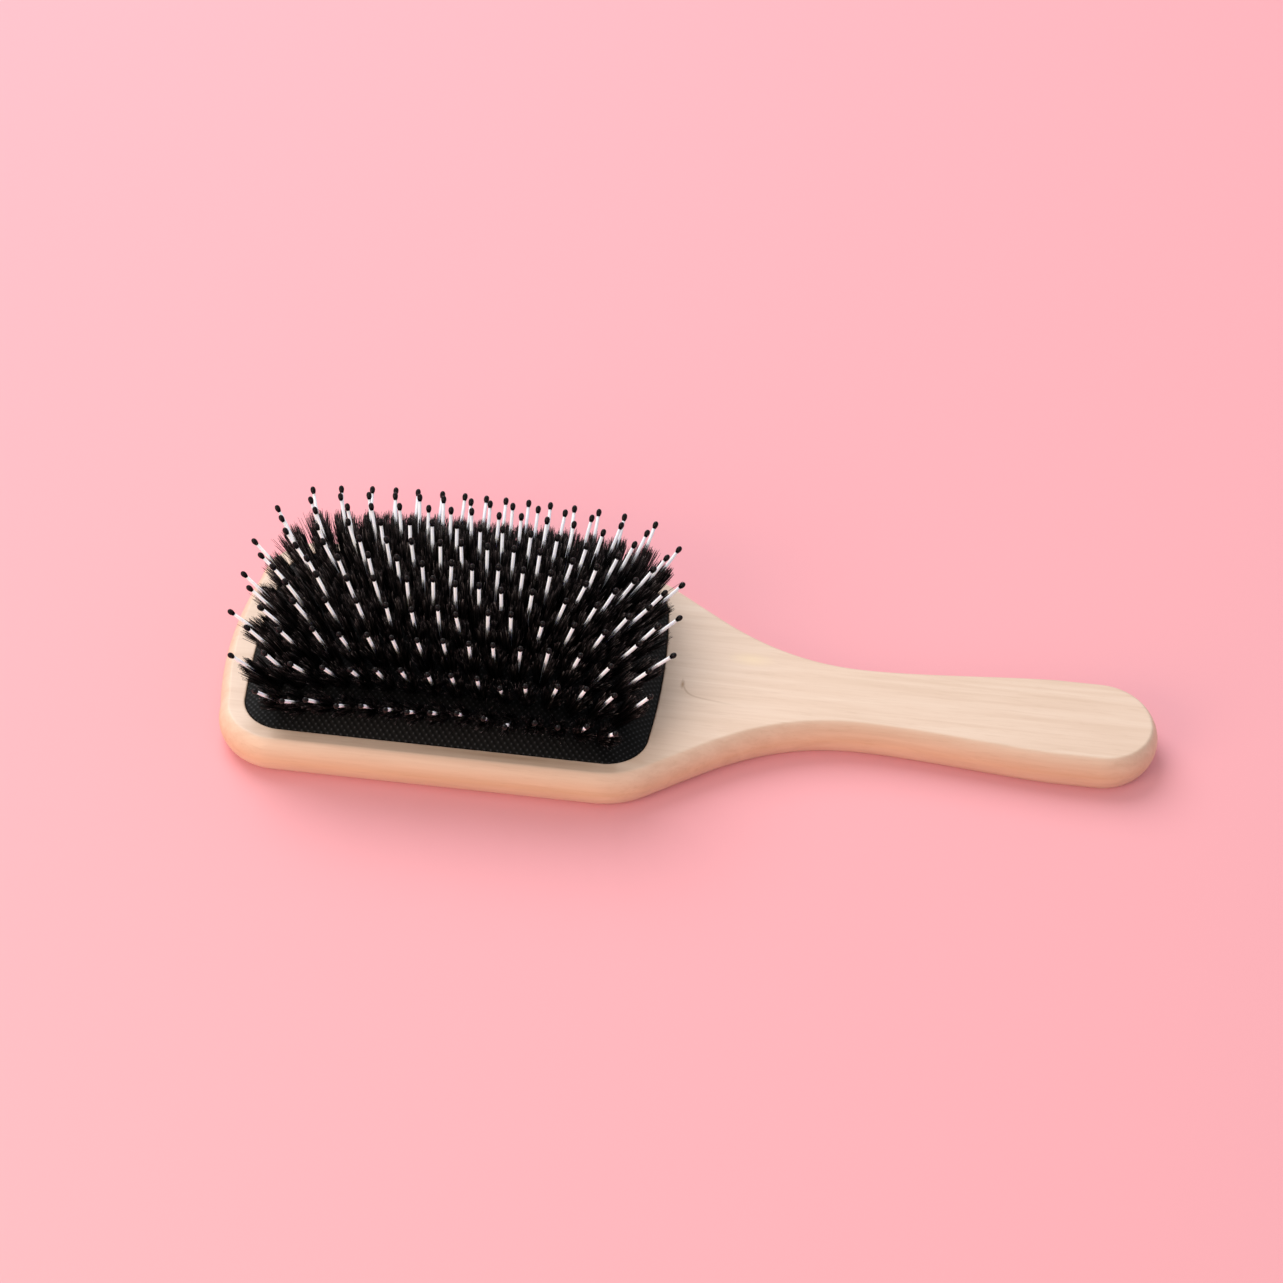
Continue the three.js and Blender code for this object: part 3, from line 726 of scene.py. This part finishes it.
def build_pin_row(row):
    """One row's pins, tips and strip as one piece."""
    gathered = Gathering()
    pins = ROWS[row]
    depth = STRIP_DEPTH + PIN_STRIP_DROP
    gathered.add(*strip_mesh(pins, depth, PIN_STRIP_HALF_WIDTH, PIN_STRIP_HALF_THICKNESS), 0)
    for pin in pins:
        foot = -depth * pin.sink
        shaft = [(0, foot), (PIN_FOOT_RADIUS, foot), (PIN_FOOT_RADIUS, 0),
                 (PIN_NECK_RADIUS, PIN_LENGTH * 0.5), (PIN_NECK_RADIUS, PIN_LENGTH),
                 (0, PIN_LENGTH + 0.05 * MM)]
        gathered.add(*turned_mesh(pin, shaft, PIN_SIDES), 0)
        tip = [(0, PIN_LENGTH - 0.1 * MM), (PIN_NECK_RADIUS * 1.04, PIN_LENGTH - 0.08 * MM)]
        tip += [(r * MM, PIN_LENGTH + h * MM) for r, h in TIP_PROFILE] + [(0, PIN_LENGTH + TIP_LENGTH)]
        gathered.add(*turned_mesh(pin, tip, PIN_SIDES), 1)
    name = f"pins_{row:02d}"
    piece = mesh_object(name, np.concatenate(gathered.points), gathered.faces, [NYLON, TIP], gathered.slots)
    facing_out(piece)
    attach(piece, f"row_{row:02d}")
    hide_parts(f"pin_row_{row:02d}")


# ---- Bristles ------------------------------------------------------------------------------------

HAIR_SIDES = 3
HAIR_STATIONS = np.array([0.0, 0.45, 0.8, 1.0])
HAIR_THICKNESS = np.array([1.0, 1.0, 0.85, 0.45])
HAIR_BURIED = 2.6 * MM
HAIR_RADIUS_SPREAD = (0.8, 1.15)

# How a tuft's hairs spread from its middle, gather into clumps, go astray and vary in length.
LEAST_REACH = 0.16
CLUMP_REACH_SQUARED = (0.1, 1.15)
DRAWN_TO_CLUMP = (0.3, 0.9)
LOOSE_REACH = 1.6
TIP_SCATTER, STRAY_SCATTER = 0.3 * MM, 1.6 * MM
LENGTH_SCATTER, LENGTH_RANGE = 0.05, (0.7, 1.1)
SHORT_HAIR_SHARE, SHORT_HAIR_LENGTH = 0.12, (0.6, 0.9)
MIDDLE_LENGTH, EDGE_SHORTENING = 1.02, 0.1
FLARE_POWER = 0.95


def hair_lines(pin, rng):
    """Centre lines of one tuft's bristles, as an array of hairs by stations by xyz."""
    count = HAIRS_PER_TUFT
    angle = rng.uniform(0, 2 * math.pi, count)
    reach = rng.uniform(LEAST_REACH, 1, (count, 1))
    outward = np.stack([np.cos(angle), np.sin(angle)], axis=1) * reach
    clump_angle = rng.uniform(0, 2 * math.pi, CLUMPS_PER_TUFT)
    clump_reach = np.sqrt(rng.uniform(*CLUMP_REACH_SQUARED, CLUMPS_PER_TUFT))
    clumps = np.stack([np.cos(clump_angle), np.sin(clump_angle)], axis=1) * clump_reach[:, None]
    nearest = clumps[np.argmin(np.linalg.norm(outward[:, None] - clumps[None], axis=2), axis=1)]
    drawn = rng.uniform(*DRAWN_TO_CLUMP, (count, 1)) * np.minimum(1, reach * LOOSE_REACH)
    tips = (outward * (1 - drawn) + nearest * drawn) * TUFT_TOP_RADIUS
    stray = rng.uniform(0, 1, (count, 1)) < STRAY_SHARE
    tips += rng.normal(0, 1, (count, 2)) * np.where(stray, STRAY_SCATTER, TIP_SCATTER)

    length = TUFT_LENGTH * (MIDDLE_LENGTH - EDGE_SHORTENING * reach[:, 0] ** 2)
    length = length * np.clip(rng.normal(1, LENGTH_SCATTER, count), *LENGTH_RANGE)
    short = rng.uniform(0, 1, count) < SHORT_HAIR_SHARE
    length *= np.where(short, rng.uniform(*SHORT_HAIR_LENGTH, count), 1)
    height = -HAIR_BURIED + HAIR_STATIONS * (length[:, None] + HAIR_BURIED)
    above = np.clip(height / length[:, None], 0, 1)[..., None]
    sideways = outward[:, None] * TUFT_ROOT_RADIUS * (1 - above) + tips[:, None] * above**FLARE_POWER
    from_pin = np.linalg.norm(sideways, axis=2, keepdims=True)
    sideways *= np.maximum(1, TUFT_HOLLOW_RADIUS / np.maximum(from_pin, 0.01 * MM))
    return (pin.base + height[..., None] * pin.axis
            + sideways[..., :1] * pin.along + sideways[..., 1:] * pin.across)


def hair_mesh(lines, pins_along, pins_across, thickness, turns):
    """Closed three-sided bristles round the centre lines, cut off square, as points and triangles."""
    angles = turns[:, None] + np.linspace(0, 2 * math.pi, HAIR_SIDES, endpoint=False)
    around = (np.cos(angles)[..., None] * pins_along[:, None]
              + np.sin(angles)[..., None] * pins_across[:, None])
    rings = lines[:, :, None, :] + around[:, None] * (thickness[:, None] * HAIR_THICKNESS)[..., None, None]
    per_hair = len(HAIR_STATIONS) * HAIR_SIDES
    side = bands(0, len(HAIR_STATIONS), HAIR_SIDES)
    cut = per_hair - HAIR_SIDES
    ends = [[2, 1, 0], [cut, cut + 1, cut + 2]]
    triangles = np.concatenate([side[:, [0, 1, 2]], side[:, [0, 2, 3]], ends])
    faces = (triangles[None] + (np.arange(len(lines)) * per_hair)[:, None, None]).reshape(-1, 3)
    return rings.reshape(-1, 3), faces, per_hair


def build_bristle_row(row, rng):
    """One row's bristles and strip as one piece, with each hair's tone and place along it as attributes."""
    pins = ROWS[row]
    lines = np.concatenate([hair_lines(pin, rng) for pin in pins])
    along = np.repeat([pin.along for pin in pins], HAIRS_PER_TUFT, axis=0)
    across = np.repeat([pin.across for pin in pins], HAIRS_PER_TUFT, axis=0)
    thickness = HAIR_RADIUS * rng.uniform(*HAIR_RADIUS_SPREAD, len(lines))
    turns = rng.uniform(0, 2 * math.pi, len(lines))
    points, faces, per_hair = hair_mesh(lines, along, across, thickness, turns)
    strip_points, strip_faces = strip_mesh(pins, STRIP_DEPTH, TUFT_ROOT_RADIUS, TUFT_STRIP_HALF_THICKNESS)
    faces = faces.tolist() + [[i + len(points) for i in face] for face in strip_faces]
    name = f"bristles_{row:02d}"
    piece = mesh_object(name, np.concatenate([points, strip_points]), faces, [BRISTLE], smooth=False)
    stations = np.repeat(HAIR_STATIONS, HAIR_SIDES)
    tip = np.concatenate([np.tile(stations, len(lines)), np.zeros(len(strip_points))])
    shade = np.concatenate([np.repeat(rng.uniform(0, 1, len(lines)), per_hair),
                            np.zeros(len(strip_points))])
    for attribute, values in (("tip", tip), ("shade", shade)):
        layer = piece.data.attributes.new(attribute, "FLOAT", "POINT")
        layer.data.foreach_set("value", values.astype(np.float32))
    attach(piece, f"row_{row:02d}")
    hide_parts(f"bristle_row_{row:02d}")


# ---- Floor, light and camera ---------------------------------------------------------------------

FLOOR_TONE = (0.86, 0.40, 0.45, 1)
FLOOR_HALF_SIZE = 3.0
WORLD_STRENGTH = 0.62


def build_floor():
    nodes = Nodes("pale_floor")
    nodes.shader.inputs["Base Color"].default_value = FLOOR_TONE
    nodes.shader.inputs["Roughness"].default_value = 0.85
    nodes.shader.inputs["Specular IOR Level"].default_value = 0.15
    half = FLOOR_HALF_SIZE
    corners = [(-half, -half, 0), (half, -half, 0), (half, half, 0), (-half, half, 0)]
    mesh_object("floor", corners, [[0, 1, 2, 3]], [nodes.material], smooth=False)


def add_area_light(name, place, target, size, power, colour=(1, 1, 1)):
    """A round soft light of this diameter in metres and power in watts, aimed at the target."""
    light = bpy.data.lights.new(name, "AREA")
    light.shape = "DISK"
    light.size = size
    light.energy = power
    light.color = colour
    holder = bpy.data.objects.new(name, light)
    holder.location = place
    holder.rotation_euler = (Vector(target) - Vector(place)).to_track_quat("-Z", "Y").to_euler()
    bpy.context.scene.collection.objects.link(holder)


def build_lights():
    world = bpy.data.worlds.new("studio")
    world.use_nodes = True
    world.node_tree.nodes["Background"].inputs["Color"].default_value = (1, 0.985, 0.98, 1)
    world.node_tree.nodes["Background"].inputs["Strength"].default_value = WORLD_STRENGTH
    bpy.context.scene.world = world
    add_area_light("key", (-0.7, 0.8, 1.2), (-0.02, 0, 0), 1.3, 18.5)
    add_area_light("fill", (-0.45, -0.55, 0.32), (-0.03, 0, 0), 0.5, 2.6, (1.0, 0.76, 0.55))


CAMERA_AZIMUTH, CAMERA_ELEVATION, CAMERA_ROLL = 4.95, 43.17, 2.54
CAMERA_DISTANCE = 0.8015
CAMERA_AIM = Vector((-15.47 * MM, 23.94 * MM, 0))
CAMERA_LENS = 82.24


def build_camera():
    """The camera, aimed at a point on the floor and turned a little about its own line of sight."""
    azimuth, elevation, roll = (math.radians(a) for a in (CAMERA_AZIMUTH, CAMERA_ELEVATION, CAMERA_ROLL))
    back = Vector((math.sin(azimuth) * math.cos(elevation), -math.cos(azimuth) * math.cos(elevation),
                   math.sin(elevation)))
    level_right = Vector((math.cos(azimuth), math.sin(azimuth), 0))
    level_up = back.cross(level_right)
    right = level_right * math.cos(roll) + level_up * math.sin(roll)
    up = level_up * math.cos(roll) - level_right * math.sin(roll)
    camera = bpy.data.cameras.new("camera")
    camera.lens = CAMERA_LENS
    camera.sensor_width = 36
    camera.dof.use_dof = False
    holder = bpy.data.objects.new("camera", camera)
    turn = Matrix((right, up, back)).transposed().to_4x4()
    holder.matrix_world = Matrix.Translation(CAMERA_AIM + back * CAMERA_DISTANCE) @ turn
    bpy.context.scene.collection.objects.link(holder)
    bpy.context.scene.camera = holder


build_camera()
build_floor()
build_lights()
build_wooden_body()
build_cushion()
for row_number in range(1, ROW_COUNT + 1):
    build_pin_row(row_number)
for row_number in range(1, ROW_COUNT + 1):
    build_bristle_row(row_number, rng)

bpy.context.scene.view_settings.view_transform = "Standard"
